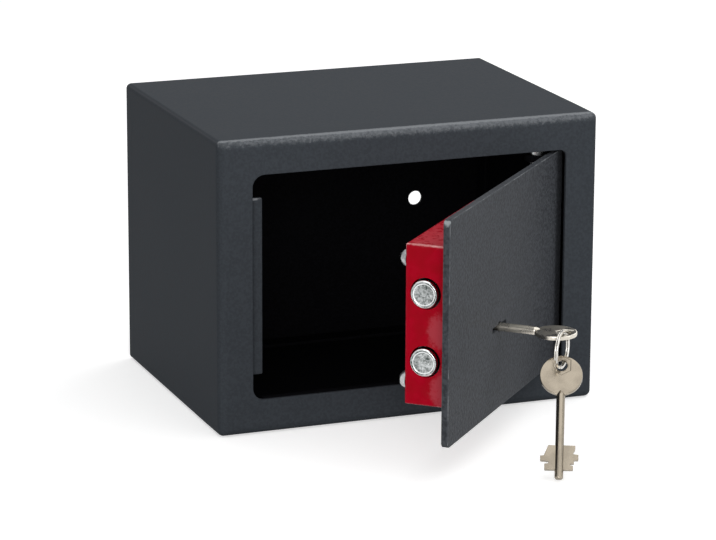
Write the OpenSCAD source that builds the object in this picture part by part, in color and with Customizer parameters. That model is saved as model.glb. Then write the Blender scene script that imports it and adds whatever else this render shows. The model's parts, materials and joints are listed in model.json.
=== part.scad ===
// Small wall and floor safe: welded steel cabinet, inset door on concealed pins,
// double-bitted key lock that throws two round bolts, and a spare key on a ring.
// The door is drawn standing ajar, with the bolts drawn back and a key in the lock.

/* [Cabinet] */
// Width of the cabinet
cab_w = 230; // [200:1:300]
// Depth of the cabinet
cab_d = 170; // [150:1:260]
// Height of the cabinet
cab_h = 170; // [164:1:240]
// Thickness of the cabinet's sheet steel
sheet = 2; // [1.5:0.1:2.4]
// Outside radius of the bends round the front
front_round = 5; // [4:0.5:7]
// Outside radius of the long edges
side_round = 2; // [1:0.25:3]
// Width of the front frame round the opening
border = 20; // [18:0.5:26]
// Corner radius of the opening on the side of the bolts
opening_round = 7; // [4:0.5:12]
// Corner radius of the opening on the hinge side, where the open door stands
hinge_round = 4; // [2:0.5:4]
// Depth of the lips folded in at the top and bottom of the opening
lip_depth = 8; // [5:0.5:10]
// How far the back panel's edges are folded forwards
back_flange = 15; // [8:1:24]
// How far the back panel sits in from the rear edge
back_recess = 0.5; // [0.2:0.1:3]
// Diameter of the anchor holes
anchor_d = 9; // [6:0.5:12]
// Distance between the two anchor holes of the back, and of the floor
anchor_pitch = 140; // [100:5:150]

/* [Strike bar] */
// Height of the bar that the bolts lock behind
strike_h = 102; // [94:1:112]
// How far the bar shows inside the opening
strike_show = 7; // [4:0.5:8]
// Thickness of the bar
strike_t = 3; // [2:0.25:4]

/* [Door] */
// Thickness of the door plate
door_t = 4; // [3.5:0.25:5]
// Gap between door and frame at the sides
side_gap = 2.5; // [2:0.1:4]
// Gap between door and frame at the top and bottom
end_gap = 1.8; // [1.7:0.1:3]
// Corner radius of the door plate
door_round = 3; // [1:0.5:8]
// How far the door stands open
door_angle = 47; // [0:1:90]

/* [Hinge] */
// Hinge axis, measured in from the hinge edge of the door
pivot_in = 10.5; // [10.25:0.25:12]
// Hinge axis, measured back from the outer face of the door
pivot_back = 12; // [11:0.25:12]
// Diameter of the hinge pins
pin_d = 6; // [4:0.5:7]
// Thickness of the brackets welded in the cabinet
bracket_t = 3; // [2:0.25:3.5]
// Thickness of the ears welded on the door
ear_t = 4; // [3:0.25:6]

/* [Lock cover] */
// Inset of the cover from the free edge of the door
cover_inset = 13; // [12:0.5:16]
// Width of the cover
cover_w = 104; // [102:1:112]
// Height of the cover
cover_h = 90; // [88:1:98]
// Depth of the cover behind the door plate
cover_depth = 26.5; // [26:0.5:34]
// Thickness of the cover's sheet
cover_sheet = 1.5; // [1:0.1:2]
// Radius of the cover's bends
cover_round = 2; // [1.6:0.1:3]
// Width of the heads of the cover's screws
screw_head_d = 10; // [8:0.5:11]
// Height of the domed heads
screw_head_h = 4.8; // [3:0.2:4.8]
// Inset of the cover's screws from its top and bottom
screw_inset = 11; // [9:0.25:11.5]
// How far the screws sit above the middle of the cover
screw_rise = 1.5; // [0:0.25:2]

/* [Bolts] */
// Diameter of the two locking bolts
bolt_d = 16; // [12:0.5:17]
// Inset of the bolts' axes from the top and bottom of the cover
bolt_inset = 26; // [25:0.5:27]
// How far the drawn bolts stand out of the cover
bolt_proud = 2.8; // [1:0.1:4]
// Length of the round part of each bolt
bolt_len = 36; // [34:0.5:36.5]
// How far the bolts travel when the key turns
bolt_throw = 14; // [9:0.5:14.5]
// Depth of the bolts' axes behind the door plate
bolt_depth = 14.5; // [14:0.25:15]

/* [Lock] */
// Keyhole, measured in from the free edge of the door
key_in_x = 80.5; // [80:0.25:81]
// Keyhole, measured down from the middle of the cabinet
key_drop = 16; // [15.5:0.25:17]
// Thickness of one lever
lever_t = 2; // [1.6:0.1:2.1]
// Gap between neighbouring levers
lever_gap = 0.4; // [0.3:0.05:0.5]
// Thickness of the sheet of the lock case
case_sheet = 1.5; // [1:0.1:1.8]
// Thickness of the bolt bar
bar_t = 2.5; // [2:0.1:2.8]

/* [Keys] */
// Length of a key
key_len = 73; // [66:0.5:90]
// Diameter of the bow
bow_d = 23.5; // [21:0.5:28]
// Thickness of the bow and bits
blade_t = 2.3; // [1.6:0.1:2.4]
// Diameter of the shank
shank_d = 4.8; // [4:0.1:5.4]
// Reach of the longest bit from the key's axis
bit_reach = 10.4; // [9:0.1:10.5]
// Diameter of the hole in the bow
bow_hole_d = 6.6; // [6.4:0.1:7.2]
// Distance of the hole from the middle of the bow
bow_hole_out = 5.9; // [4.5:0.1:7]
// Inside radius of the split ring
ring_in_r = 9.2; // [9.1:0.1:10.5]
// Thickness of the ring's wire
ring_wire = 1.6; // [1.2:0.1:1.6]
// Turns of the ring's wire, side by side
ring_turns = 2; // [1:1:2]

/* [Hidden] */
$fn = 48;

// Clearances
running = 0.06;     // round running fit, on the radius
face_gap = 0.3;     // between faces that move past each other
floor_gap = 0.3;    // under the hanging spare key

// Cabinet and opening
front_y = -cab_d / 2;
rear_y = cab_d / 2;
mid_z = cab_h / 2;
open_w = cab_w - 2 * border;
open_h = cab_h - 2 * border;
inner_round = 0.4;
back_y = rear_y - back_recess;
back_corner = 1;
back_relief = 2;    // gap between the back panel's flanges at its corners
lip_stop = 6;       // between the lips' ends and the hinge brackets

// Door plate as it lies when closed
door_x0 = -open_w / 2 + side_gap;
door_x1 = open_w / 2 - side_gap;
door_z0 = border + end_gap;
door_z1 = cab_h - border - end_gap;
door_rear = front_y + door_t;
pivot = [door_x1 - pivot_in, front_y + pivot_back, 0];

// Strike bar, seated on the lip behind the closed door's free edge
strike_front = door_rear + face_gap;
strike_tail = 10;   // welded to the lip, past the edge of the opening
strike_w = strike_show + strike_tail;
strike_corner = 1;
strike_x = -open_w / 2 + strike_show - strike_w;

// Hinge leaves
ear_r = 7;
leaf_r = 8;
leaf_gap = 1.5;
leaf_h = 11;
upper_leaf_z = cab_h - border + leaf_gap;
lower_leaf_z = border - leaf_gap - bracket_t;
ear_inset = 2;
ear_foot_h = 16;
upper_ear_z = door_z1 - ear_inset - ear_t;
lower_ear_z = door_z0 + ear_inset;
pin_head_t = 2;
pin_end = 1.5;
bush_r = pin_d / 2 + 2;

// Lock cover
cover_x0 = door_x0 + cover_inset;
cover_x1 = cover_x0 + cover_w;
cover_mid_z = mid_z;
cover_rear = door_rear + cover_depth;
cover_inside = cover_rear - cover_sheet;
post_r = 4;
post_gap = 0.3;     // between a post and the cover's end
screw_r = 2;
screw_len = 12;
// Places of the four posts and screws that hold the cover, as [x, z]
cover_fix_in = cover_sheet + post_gap + post_r;
cover_fix = [for (x = [cover_x0 + cover_fix_in, cover_x1 - cover_fix_in], s = [-1, 1])
    [x, cover_mid_z + screw_rise + s * (cover_h / 2 - screw_inset)]];

// Bolts
bolt_r = bolt_d / 2;
bolt_y = door_rear + bolt_depth;
bolt_mid_z = cover_mid_z - 1;
bolt_half = cover_h / 2 - bolt_inset;
bolt_zs = [bolt_mid_z + bolt_half, bolt_mid_z - bolt_half];
bolt_tip_x = cover_x0 - bolt_proud;
web_x = bolt_tip_x + bolt_len;
web_t = 3;
spigot_r = 4;
guide_t = 3;
guide_foot = 12;
guide_x = web_x - bolt_throw - face_gap * 2 - guide_t - 2;

// Key axis
key_x = door_x0 + key_in_x;
key_z = mid_z - key_drop;
key_tip_y = cover_inside - 0.6;

// Layers of the lock, counted forwards from the cover
lever_count = 5;
lever_pitch = lever_t + lever_gap;
lid_rear = cover_inside - 2.9;
lid_front = lid_rear - case_sheet;
lever_rear = lid_front - 0.9;
function lever_y(i) = lever_rear - lever_t - (lever_count - i) * lever_pitch;
bar_rear = lever_y(1) - 0.5;
bar_front = bar_rear - bar_t;
base_t = 2;
base_rear = door_rear + base_t;

// Lock case round the key, sizes measured from the key's axis; it fills the height of the cover
case_left = -26;
case_right = 23.5;
case_play_low = 3;
case_play_high = 2;
case_low = cover_mid_z - cover_h / 2 + cover_sheet + case_play_low - key_z;
case_high = cover_mid_z + cover_h / 2 - cover_sheet - case_play_high - key_z;
pillar_r = 3.5;
pillar_in = 4.5;
case_corners = [[case_left + pillar_in, case_low + pillar_in], [case_left + pillar_in, case_high - pillar_in],
    [case_right - pillar_in, case_low + pillar_in], [case_right - pillar_in, case_high - pillar_in]];

// Levers, measured from the key's axis
lever_pivot = [15, case_high - 15];
lever_pin_r = 3;
lever_eye_r = 6;
lever_end_x = case_left + 3;
lever_foot_z = 12;
lever_arm = 15;
lever_heel = [17, lever_foot_z];
lever_lip = [13, 4];
lever_back = [-4, lever_pivot[1] + 1];
lever_shoulder = 5;
stump_at = [-2, 21];
stump_r = 2.5;
gate_h = 2 * stump_r + 0.6;
stud_at = [-18, 28];
stud_r = 3;
pocket_low = [5.2, 4.4, 6.0, 4.8, 5.6];
pocket_high = [4.6, 5.6, 4.2, 5.0, 4.4];

// Leaf springs: height of the underside above the key's axis
spring_t = 0.5;
spring_low = lever_back[1] + 1.6;
spring_root = lever_pivot[0] - 7;
spring_rise = case_high - case_sheet - 0.6 - spring_t - spring_low;
spring_reach = spring_root - lever_end_x - 6.8;
function spring_z(x) = spring_low + pow((spring_root - x) / spring_reach, 2) * spring_rise;

// Bits: share of their length from the end near the tip, and reach as a share of the longest bit
bit_start = key_tip_y - lever_rear + 0.4;
bit_end = key_tip_y - bar_front + 0.2;
bit_len = bit_end - bit_start;
throw_share = 0.83;
plain_bit = [[0, 0.2], [0, 0.77], [0.24, 0.77], [0.26, 0.56], [0.34, 0.58], [0.37, 1], [0.56, 1],
    [0.58, 0.81], [1, 0.59], [1, 0.2]];
throwing_bit = [[0, 0.2], [0, 0.73], [0.17, 0.73], [0.19, 0.58], [0.25, 0.58], [0.26, 0.77], [0.4, 0.77],
    [0.41, 1], [0.63, 1], [0.65, 0.71], [0.84, throw_share], [1, throw_share], [1, 0.2]];
belly_r = bit_reach + 0.6;

// Tail of the bolt bar, measured from the key's axis
throw_r = throw_share * bit_reach;
talon_low = throw_r - 2.7;
talon_high = throw_r + 0.7;
talon_x = 0.4;
talon_w = 13.6;
tail_end = 19.5;
tail_high = stud_at[1] + stud_r + 3;
post_play = 0.6;

// Bow, ring and spare key
shank_r = shank_d / 2;
bow_r = bow_d / 2;
bow_mid = key_len - bow_r;
bow_hole = bow_mid + bow_hole_out;
hole_r = bow_hole_d / 2;
stamp_r = 6;        // six-sided stamping round the hole, on both faces of the bow
stamp_depth = 0.25;
ring_mid_r = ring_in_r + ring_wire / 2;
ring_pitch = 1;
ring_y = key_tip_y - bow_hole;
rim_out = sqrt(bow_r * bow_r - bow_hole_out * bow_hole_out);
rim_mid = (rim_out + hole_r) / 2;
rim_half = (rim_out - hole_r) / 2;
ring_drop = sqrt(pow(ring_in_r - 0.5, 2) - rim_half * rim_half) - blade_t / 2;
ring_at = [key_x - rim_mid, ring_y, key_z - ring_drop];
hang_at = ring_at - [0, 0, ring_mid_r];
hang_len = bow_hole - 0.4;
hang_reach = norm([hang_len, shank_r]);
spare_lean = hang_at[2] - floor_gap > hang_reach ? 0
    : acos((hang_at[2] - floor_gap) / hang_reach) + atan2(shank_r, hang_len);
spare_turn = 108;
ring_cut = 0.5;

// Turns the closed door's pieces about the hinge
module on_door() {
    translate(pivot) rotate([0, 0, door_angle]) translate(-pivot) children();
}

// Rectangle w by h about the origin, with corners of radius r
module round_rect(w, h, r) {
    square([w - 2 * r, h], center = true);
    square([w, h - 2 * r], center = true);
    for (sx = [-1, 1], sy = [-1, 1])
        translate([sx * (w / 2 - r), sy * (h / 2 - r)]) circle(r);
}

// Rectangle w wide from y = 0 to d, with the two corners at y = 0 rounded
module front_rounded(w, d, r) {
    translate([-w / 2, r]) square([w, d - r]);
    translate([-w / 2 + r, 0]) square([w - 2 * r, d]);
    for (s = [-1, 1]) translate([s * (w / 2 - r), r]) circle(r);
}

// Block with its front at y = 0: bends of radius face_r round the front,
// and of radius long_r on the four edges that run back
module bent_block(w, d, h, face_r, long_r) {
    intersection() {
        translate([0, d, 0]) rotate([90, 0, 0]) linear_extrude(d) round_rect(w, h, long_r);
        translate([0, 0, -h / 2]) linear_extrude(h) front_rounded(w, d, face_r);
        translate([-w / 2, 0, 0]) rotate([0, 90, 0]) linear_extrude(w) front_rounded(h, d, face_r);
    }
}

// Cylinder along +Y from y0 to y1
module rod_y(x, z, r, y0, y1) {
    translate([x, y1, z]) rotate([90, 0, 0]) cylinder(r = r, h = y1 - y0);
}

// Cylinder along +X from x0 to x1
module rod_x(y, z, r, x0, x1) {
    translate([x0, y, z]) rotate([0, 90, 0]) cylinder(r = r, h = x1 - x0);
}

// Block from one corner to the other
module block(low, high) {
    translate(low) cube(high - low);
}

// Flat outline in X and Z, standing from y0 to y1
module plate_y(y0, y1) {
    translate([0, y1, 0]) rotate([90, 0, 0]) linear_extrude(y1 - y0) children();
}

// Slot for the key: a round eye and a straight cut for the two bits
module keyhole_cut(eye_r, reach, slot_h) {
    circle(eye_r);
    square([2 * reach, slot_h], center = true);
}

module cabinet_shell() color("#3f454a") {
    difference() {
        translate([0, front_y, mid_z]) bent_block(cab_w, cab_d, cab_h, front_round, side_round);
        translate([0, front_y + sheet, mid_z])
            bent_block(cab_w - 2 * sheet, cab_d, cab_h - 2 * sheet, front_round - sheet, inner_round);
        translate([0, 0, mid_z]) plate_y(front_y - 1, front_y + sheet + 1) {
            round_rect(open_w, open_h, opening_round);
            translate([open_w / 4, 0]) round_rect(open_w / 2, open_h, hinge_round);
        }
        for (s = [-1, 1]) translate([s * anchor_pitch / 2, 0, -1]) cylinder(d = anchor_d, h = sheet + 2);
    }
    // Lips folded in from the opening; the hinge side has none
    lip_x = open_w / 2 - opening_round;
    lip_end = pivot[0] - leaf_r - lip_stop;
    block([-lip_x, front_y + sheet, border - sheet], [lip_end, front_y + lip_depth, border]);
    block([-lip_x, front_y + sheet, cab_h - border], [lip_end, front_y + lip_depth, cab_h - border + sheet]);
    block([-open_w / 2 - sheet, front_y + sheet, border + opening_round],
        [-open_w / 2, strike_front, cab_h - border - opening_round]);
}

module back_panel() color("#2a2d30") {
    w = cab_w - 2 * sheet;
    h = cab_h - 2 * sheet;
    difference() {
        translate([0, 0, mid_z]) plate_y(back_y - sheet, back_y) round_rect(w, h, back_corner);
        for (s = [-1, 1]) rod_y(s * anchor_pitch / 2, mid_z, anchor_d / 2, back_y - sheet - 1, back_y + 1);
    }
    for (s = [-1, 1]) {
        translate([s * (w - sheet) / 2, back_y - back_flange / 2 - sheet / 2, mid_z])
            cube([sheet, back_flange - sheet, h - 2 * (sheet + back_relief)], center = true);
        translate([0, back_y - back_flange / 2 - sheet / 2, mid_z + s * (h - sheet) / 2])
            cube([w - 2 * (sheet + back_relief), back_flange - sheet, sheet], center = true);
    }
}

module strike_bar() color("#34383c") {
    translate([strike_x + strike_w / 2, 0, mid_z]) plate_y(strike_front, strike_front + strike_t)
        round_rect(strike_w, strike_h, strike_corner);
}

// Angle bracket: a leaf with the pin's bore, and a foot on the rear of the front frame
module hinge_bracket(leaf_z, foot_z) color("#34383c") {
    difference() {
        union() {
            block([pivot[0] - leaf_r, front_y + sheet, leaf_z],
                [pivot[0] + leaf_r, pivot[1], leaf_z + bracket_t]);
            translate([pivot[0], pivot[1], leaf_z]) cylinder(r = leaf_r, h = bracket_t);
            block([pivot[0] - leaf_r, front_y + sheet, foot_z],
                [pivot[0] + leaf_r, front_y + sheet + bracket_t, foot_z + leaf_h]);
        }
        translate([pivot[0], pivot[1], leaf_z - 1]) cylinder(r = pin_d / 2 + running, h = bracket_t + 2);
    }
}
module upper_hinge_bracket() hinge_bracket(upper_leaf_z, upper_leaf_z);
module lower_hinge_bracket() hinge_bracket(lower_leaf_z, lower_leaf_z + bracket_t - leaf_h);

module door_plate() color("#4b5054") on_door() difference() {
    translate([(door_x0 + door_x1) / 2, 0, mid_z]) plate_y(front_y, door_rear)
        round_rect(door_x1 - door_x0, door_z1 - door_z0, door_round);
    translate([key_x, 0, key_z]) plate_y(front_y - 1, door_rear + 1)
        keyhole_cut(shank_r + 0.5, bit_reach + 0.6, blade_t + 0.6);
}

// Ear with the pin's hole, on a foot welded to the rear of the door
module hinge_ear(ear_z, foot_z) color("#34383c") on_door() difference() {
    union() {
        block([pivot[0] - ear_r, door_rear, ear_z], [pivot[0] + ear_r, pivot[1], ear_z + ear_t]);
        translate([pivot[0], pivot[1], ear_z]) cylinder(r = ear_r, h = ear_t);
        block([pivot[0] - ear_r, door_rear, foot_z], [pivot[0] + ear_r, door_rear + 3, foot_z + ear_foot_h]);
    }
    translate([pivot[0], pivot[1], ear_z - 1]) cylinder(r = pin_d / 2 + running, h = ear_t + 2);
}
module upper_hinge_ear() hinge_ear(upper_ear_z, upper_ear_z + ear_t - ear_foot_h);
module lower_hinge_ear() hinge_ear(lower_ear_z, lower_ear_z);

// Pin from z0 to z1 with its head at head_z
module hinge_pin(z0, z1, head_z) {
    translate([pivot[0], pivot[1], head_z]) cylinder(r = pin_d / 2 + 1.5, h = pin_head_t);
    translate([pivot[0], pivot[1], z0]) cylinder(d = pin_d, h = z1 - z0);
}
module hinge_pins() color("#b9bcbe") on_door() {
    upper_head = upper_ear_z - pin_head_t;
    lower_head = lower_ear_z + ear_t;
    hinge_pin(upper_head, upper_leaf_z + bracket_t + pin_end, upper_head);
    hinge_pin(lower_leaf_z - pin_end, lower_head + pin_head_t, lower_head);
}

// Spacing bushes between the ears and the brackets
module hinge_bush(z0, z1) {
    translate([pivot[0], pivot[1], z0]) difference() {
        cylinder(r = bush_r, h = z1 - z0);
        translate([0, 0, -1]) cylinder(r = pin_d / 2 + running, h = z1 - z0 + 2);
    }
}
module hinge_bushes() color("#9b8552") on_door() {
    hinge_bush(upper_ear_z + ear_t, upper_leaf_z - face_gap);
    hinge_bush(lower_leaf_z + bracket_t + face_gap, lower_ear_z);
}

module lock_cover() color("#a50018") on_door() difference() {
    mid_x = (cover_x0 + cover_x1) / 2;
    translate([mid_x, cover_rear, cover_mid_z]) mirror([0, 1, 0])
        bent_block(cover_w, cover_depth, cover_h, cover_round, cover_round - 0.5);
    translate([mid_x, cover_inside, cover_mid_z]) mirror([0, 1, 0])
        bent_block(cover_w - 2 * cover_sheet, cover_depth, cover_h - 2 * cover_sheet, cover_round - 1, 0.1);
    for (z = bolt_zs) rod_x(bolt_y, z, bolt_r + 0.8, cover_x0 - 1, cover_x0 + cover_sheet + 1);
    for (p = cover_fix) rod_y(p[0], p[1], screw_r + 0.3, cover_inside - 1, cover_rear + 1);
}

module cover_posts() color("#a9acae") on_door() for (p = cover_fix) difference() {
    rod_y(p[0], p[1], post_r, door_rear, cover_inside);
    rod_y(p[0], p[1], screw_r + running, cover_inside - screw_len - 1, cover_inside + 1);
}

// Domed head on the cover, shank in the post
module cover_screws() color("#c6c9cb") on_door() for (p = cover_fix) {
    r = screw_head_d / 2;
    dome_r = (r * r + screw_head_h * screw_head_h) / (2 * screw_head_h);
    intersection() {
        translate([p[0], cover_rear + screw_head_h - dome_r, p[1]]) sphere(dome_r);
        rod_y(p[0], p[1], r, cover_rear, cover_rear + screw_head_h + 1);
    }
    rod_y(p[0], p[1], screw_r, cover_inside - screw_len, cover_rear);
}

module lock_base_plate() color("#8d9092") on_door() plate_y(door_rear, base_rear) difference() {
    translate([(guide_x + key_x + case_right) / 2, key_z + (case_low + case_high) / 2])
        round_rect(key_x + case_right - guide_x, case_high - case_low, 2);
    translate([key_x, key_z]) keyhole_cut(shank_r + 0.7, bit_reach + 0.9, blade_t + 1);
}

// Angle with two bores that carry the bolts near the cover's end
module bolt_guide() color("#8d9092") on_door() difference() {
    low = bolt_zs[1] - bolt_r - 3;
    high = bolt_zs[0] + bolt_r + 3;
    union() {
        block([guide_x, base_rear, low], [guide_x + guide_t, bolt_y + bolt_r + 1.2, high]);
        block([guide_x, base_rear, low], [guide_x + guide_foot, base_rear + 1.5, high]);
    }
    for (z = bolt_zs) rod_x(bolt_y, z, bolt_r + running, guide_x - 1, guide_x + guide_t + 1);
}

module guide_stud() color("#b9bcbe") on_door()
    rod_y(key_x + stud_at[0], key_z + stud_at[1], stud_r, base_rear, bar_rear + 0.2);

module lock_case() color("#9a9d9f") on_door() difference() {
    plate_y(base_rear, lid_front) translate([key_x, key_z]) {
        difference() {
            translate([case_left, case_low]) square([case_right - case_left, case_high - case_low]);
            translate([case_left + case_sheet, case_low + case_sheet])
                square([case_right - case_left - 2 * case_sheet, case_high - case_low - 2 * case_sheet]);
        }
        for (p = case_corners) translate(p) circle(pillar_r);
    }
    // Way for the bolt bar through the free end of the case
    block([key_x + case_left - 1, bar_front - 0.6, key_z + talon_low - 1],
        [key_x + case_left + case_sheet + 1, bar_rear + 0.4, key_z + tail_high + 1]);
    for (p = case_corners) rod_y(key_x + p[0], key_z + p[1], 1.3, lid_front - 9, lid_front + 1);
}

module lock_case_lid() color("#9a9d9f") on_door() difference() {
    plate_y(lid_front, lid_rear) translate([key_x + case_left, key_z + case_low])
        square([case_right - case_left, case_high - case_low]);
    rod_y(key_x, key_z, shank_r + running, lid_front - 1, lid_rear + 1);
    for (p = case_corners) rod_y(key_x + p[0], key_z + p[1], 1.6, lid_front - 1, lid_rear + 1);
}

module case_screws() color("#c6c9cb") on_door() for (p = case_corners) {
    rod_y(key_x + p[0], key_z + p[1], 2.7, lid_rear, lid_rear + 1.6);
    rod_y(key_x + p[0], key_z + p[1], 1.25, lid_front - 8, lid_rear);
}

module lever_post() color("#b9bcbe") on_door()
    rod_y(key_x + lever_pivot[0], key_z + lever_pivot[1], lever_pin_r, base_rear, lid_front);

// Lever i with its eye, gate, pockets and belly, lifted as by its own key
module lever(i) color("#b08d4a") on_door() translate([key_x, 0, key_z]) {
    y0 = lever_y(i);
    y1 = y0 + lever_t;
    side = stump_r + 0.7;
    gate_x = stump_at[0] - bolt_throw - side;
    low = stump_at[1] - pocket_low[i - 1];
    high = stump_at[1] + pocket_high[i - 1];
    difference() {
        union() {
            plate_y(y0, y1) polygon([[lever_end_x, lever_foot_z],
                [lever_end_x, lever_back[1] - lever_shoulder], lever_back,
                lever_pivot + lever_eye_r * [-0.5, 0.83], lever_pivot + lever_eye_r * [0.5, 0],
                lever_pivot + lever_eye_r * [0.83, -0.42], lever_heel, lever_lip,
                [-lever_lip[0], lever_lip[1]], [-lever_arm, lever_foot_z]]);
            rod_y(lever_pivot[0], lever_pivot[1], lever_eye_r, y0, y1);
        }
        rod_y(0, 0, belly_r, y0 - 1, y1 + 1);
        rod_y(lever_pivot[0], lever_pivot[1], lever_pin_r + 0.1, y0 - 1, y1 + 1);
        block([gate_x, y0 - 1, stump_at[1] - gate_h / 2],
            [stump_at[0] + side, y1 + 1, stump_at[1] + gate_h / 2]);
        for (x = [gate_x, stump_at[0] - side]) block([x, y0 - 1, low], [x + 2 * side, y1 + 1, high]);
    }
}
module lever_1() lever(1);
module lever_2() lever(2);
module lever_3() lever(3);
module lever_4() lever(4);
module lever_5() lever(5);

// Leaf springs from the levers' backs up to the top of the case
module lever_springs() color("#6f7375") on_door() {
    count = 12;
    steps = [for (k = [0:count]) spring_root - 5 - k * (spring_reach - 5) / count];
    low = [for (x = steps) [x, spring_z(x)]];
    high = [for (x = steps) [x, spring_z(x) + spring_t]];
    reversed = [for (k = [len(high) - 1:-1:0]) high[k]];
    for (i = [1:lever_count]) plate_y(lever_y(i) + 0.3, lever_y(i) + lever_t - 0.3)
        translate([key_x, key_z]) polygon(concat(low, reversed));
}

// Round bolt along X: bevelled end, body, spigot and the peened head behind the bar
module bolt(z) color("#cfd3d5") on_door() {
    bevel = 0.8;
    translate([bolt_tip_x, bolt_y, z]) rotate([0, 90, 0]) {
        cylinder(r1 = bolt_r - bevel, r2 = bolt_r, h = bevel);
        translate([0, 0, bevel]) cylinder(r = bolt_r, h = bolt_len - bevel);
        translate([0, 0, bolt_len]) cylinder(r = spigot_r, h = web_t);
        translate([0, 0, bolt_len + web_t]) cylinder(r1 = spigot_r + 1.5, r2 = spigot_r, h = 1.3);
    }
}
module upper_bolt() bolt(bolt_zs[0]);
module lower_bolt() bolt(bolt_zs[1]);

// Bent bar: a web across the bolts' ends and a tail into the lock with slot and talon
module bolt_bar() color("#aeb1b3") on_door() {
    difference() {
        block([web_x, bar_front, bolt_zs[1] - bolt_r - 1],
            [web_x + web_t, bolt_y + bolt_r, bolt_zs[0] + bolt_r + 1]);
        for (z = bolt_zs) rod_x(bolt_y, z, spigot_r + 0.02, web_x - 1, web_x + web_t + 1);
    }
    plate_y(bar_front, bar_rear) difference() {
        translate([web_x + web_t - 0.5, key_z + talon_low])
            square([key_x + tail_end - web_x - web_t + 0.5, tail_high - talon_low]);
        // Talon that the key's bit pushes
        translate([key_x + talon_x, key_z + talon_low - 1]) square([talon_w, talon_high - talon_low + 1]);
        // Room for the lever post, where the tail reaches it
        post_room = lever_pin_r + post_play;
        translate([key_x + lever_pivot[0] - post_room, key_z + lever_pivot[1] - post_room])
            square([tail_end, tail_end]);
        // Slot on the guide stud
        translate([key_x + stud_at[0], key_z + stud_at[1]]) {
            circle(stud_r + 0.08);
            translate([bolt_throw, 0]) circle(stud_r + 0.08);
            translate([0, -stud_r - 0.08]) square([bolt_throw, 2 * (stud_r + 0.08)]);
        }
    }
}

module lever_stump() color("#b9bcbe") on_door()
    rod_y(key_x + stump_at[0], key_z + stump_at[1], stump_r, bar_rear, lever_rear);

// One bit of a key, on the side s of its shank
module key_bit(outline, s) {
    polygon([for (p = outline) [s * bit_reach * p[1], bit_start + bit_len * p[0]]]);
}

// Key standing on its tip at the origin, with the bow and bits flat in X and Z
module key_blank() {
    throat = bow_mid - bow_r + 1.2;
    tip_r = 0.5;
    cylinder(r1 = shank_r - tip_r, r2 = shank_r, h = tip_r);
    translate([0, 0, tip_r]) cylinder(r = shank_r, h = throat - tip_r);
    translate([0, 0, throat]) cylinder(r1 = shank_r, r2 = blade_t / 2, h = 2);
    plate_y(-blade_t / 2, blade_t / 2) {
        key_bit(plain_bit, 1);
        key_bit(throwing_bit, -1);
    }
    difference() {
        plate_y(-blade_t / 2, blade_t / 2) difference() {
            translate([0, bow_mid]) circle(bow_r);
            translate([0, bow_hole]) circle(hole_r);
        }
        for (s = [-1, 1]) translate([0, s * blade_t / 2, 0]) plate_y(-stamp_depth, stamp_depth)
            translate([0, bow_hole]) rotate(90) circle(stamp_r, $fn = 6);
    }
}

// Key in the lock, with the bit that throws the bolts towards the hinge
module lock_key() color("#b7ae9f") on_door()
    translate([key_x, key_tip_y, key_z]) rotate([90, 0, 0]) rotate([0, 0, 180]) key_blank();

// Split ring of flat turns, each cut at its end, hanging through the bow of the key in the lock
module key_ring() color("#c9cbc8") on_door() translate(ring_at) rotate([90, 0, 0]) {
    for (k = [0:ring_turns - 1]) translate([0, 0, (k - ring_turns / 2) * ring_pitch]) difference() {
        rotate_extrude($fn = 64) translate([ring_in_r, 0]) square([ring_wire, ring_pitch]);
        rotate([0, 0, 200 + 25 * k]) translate([ring_in_r - 1, -ring_cut / 2, -1])
            cube([ring_wire + 2, ring_cut, ring_pitch + 2]);
    }
}

// Spare key on the ring, leaning with its tip on the surface below
module spare_key() color("#b7ae9f") on_door()
    translate(hang_at) rotate([0, 0, spare_turn]) rotate([spare_lean, 0, 0])
        translate([0, 0, -hang_len]) key_blank();

cabinet_shell();
back_panel();
strike_bar();
upper_hinge_bracket();
lower_hinge_bracket();
door_plate();
upper_hinge_ear();
lower_hinge_ear();
hinge_pins();
hinge_bushes();
lock_cover();
cover_posts();
cover_screws();
lock_base_plate();
bolt_guide();
guide_stud();
lock_case();
lock_case_lid();
case_screws();
lever_post();
lever_1();
lever_2();
lever_3();
lever_4();
lever_5();
lever_springs();
upper_bolt();
lower_bolt();
bolt_bar();
lever_stump();
lock_key();
key_ring();
spare_key();
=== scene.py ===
import json
import math

import bmesh
import bpy
from mathutils import Matrix, Vector


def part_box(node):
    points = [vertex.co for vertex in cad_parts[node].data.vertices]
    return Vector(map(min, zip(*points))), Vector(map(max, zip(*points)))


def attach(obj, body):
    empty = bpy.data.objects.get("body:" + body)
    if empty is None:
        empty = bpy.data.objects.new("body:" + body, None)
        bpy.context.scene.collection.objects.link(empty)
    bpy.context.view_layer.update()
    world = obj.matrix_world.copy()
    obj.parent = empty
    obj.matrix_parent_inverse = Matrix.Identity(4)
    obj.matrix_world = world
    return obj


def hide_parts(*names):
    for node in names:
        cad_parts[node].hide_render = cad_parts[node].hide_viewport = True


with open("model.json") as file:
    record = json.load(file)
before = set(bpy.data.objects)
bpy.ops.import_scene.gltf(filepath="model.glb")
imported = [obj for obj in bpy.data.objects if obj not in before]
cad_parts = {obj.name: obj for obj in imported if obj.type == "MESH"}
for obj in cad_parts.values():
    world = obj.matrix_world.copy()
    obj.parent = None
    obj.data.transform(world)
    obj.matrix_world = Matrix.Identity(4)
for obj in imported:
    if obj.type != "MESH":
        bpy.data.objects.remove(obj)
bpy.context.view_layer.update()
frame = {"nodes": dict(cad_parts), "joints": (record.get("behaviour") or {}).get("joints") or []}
mm = 0.001
scene = bpy.context.scene

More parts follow.
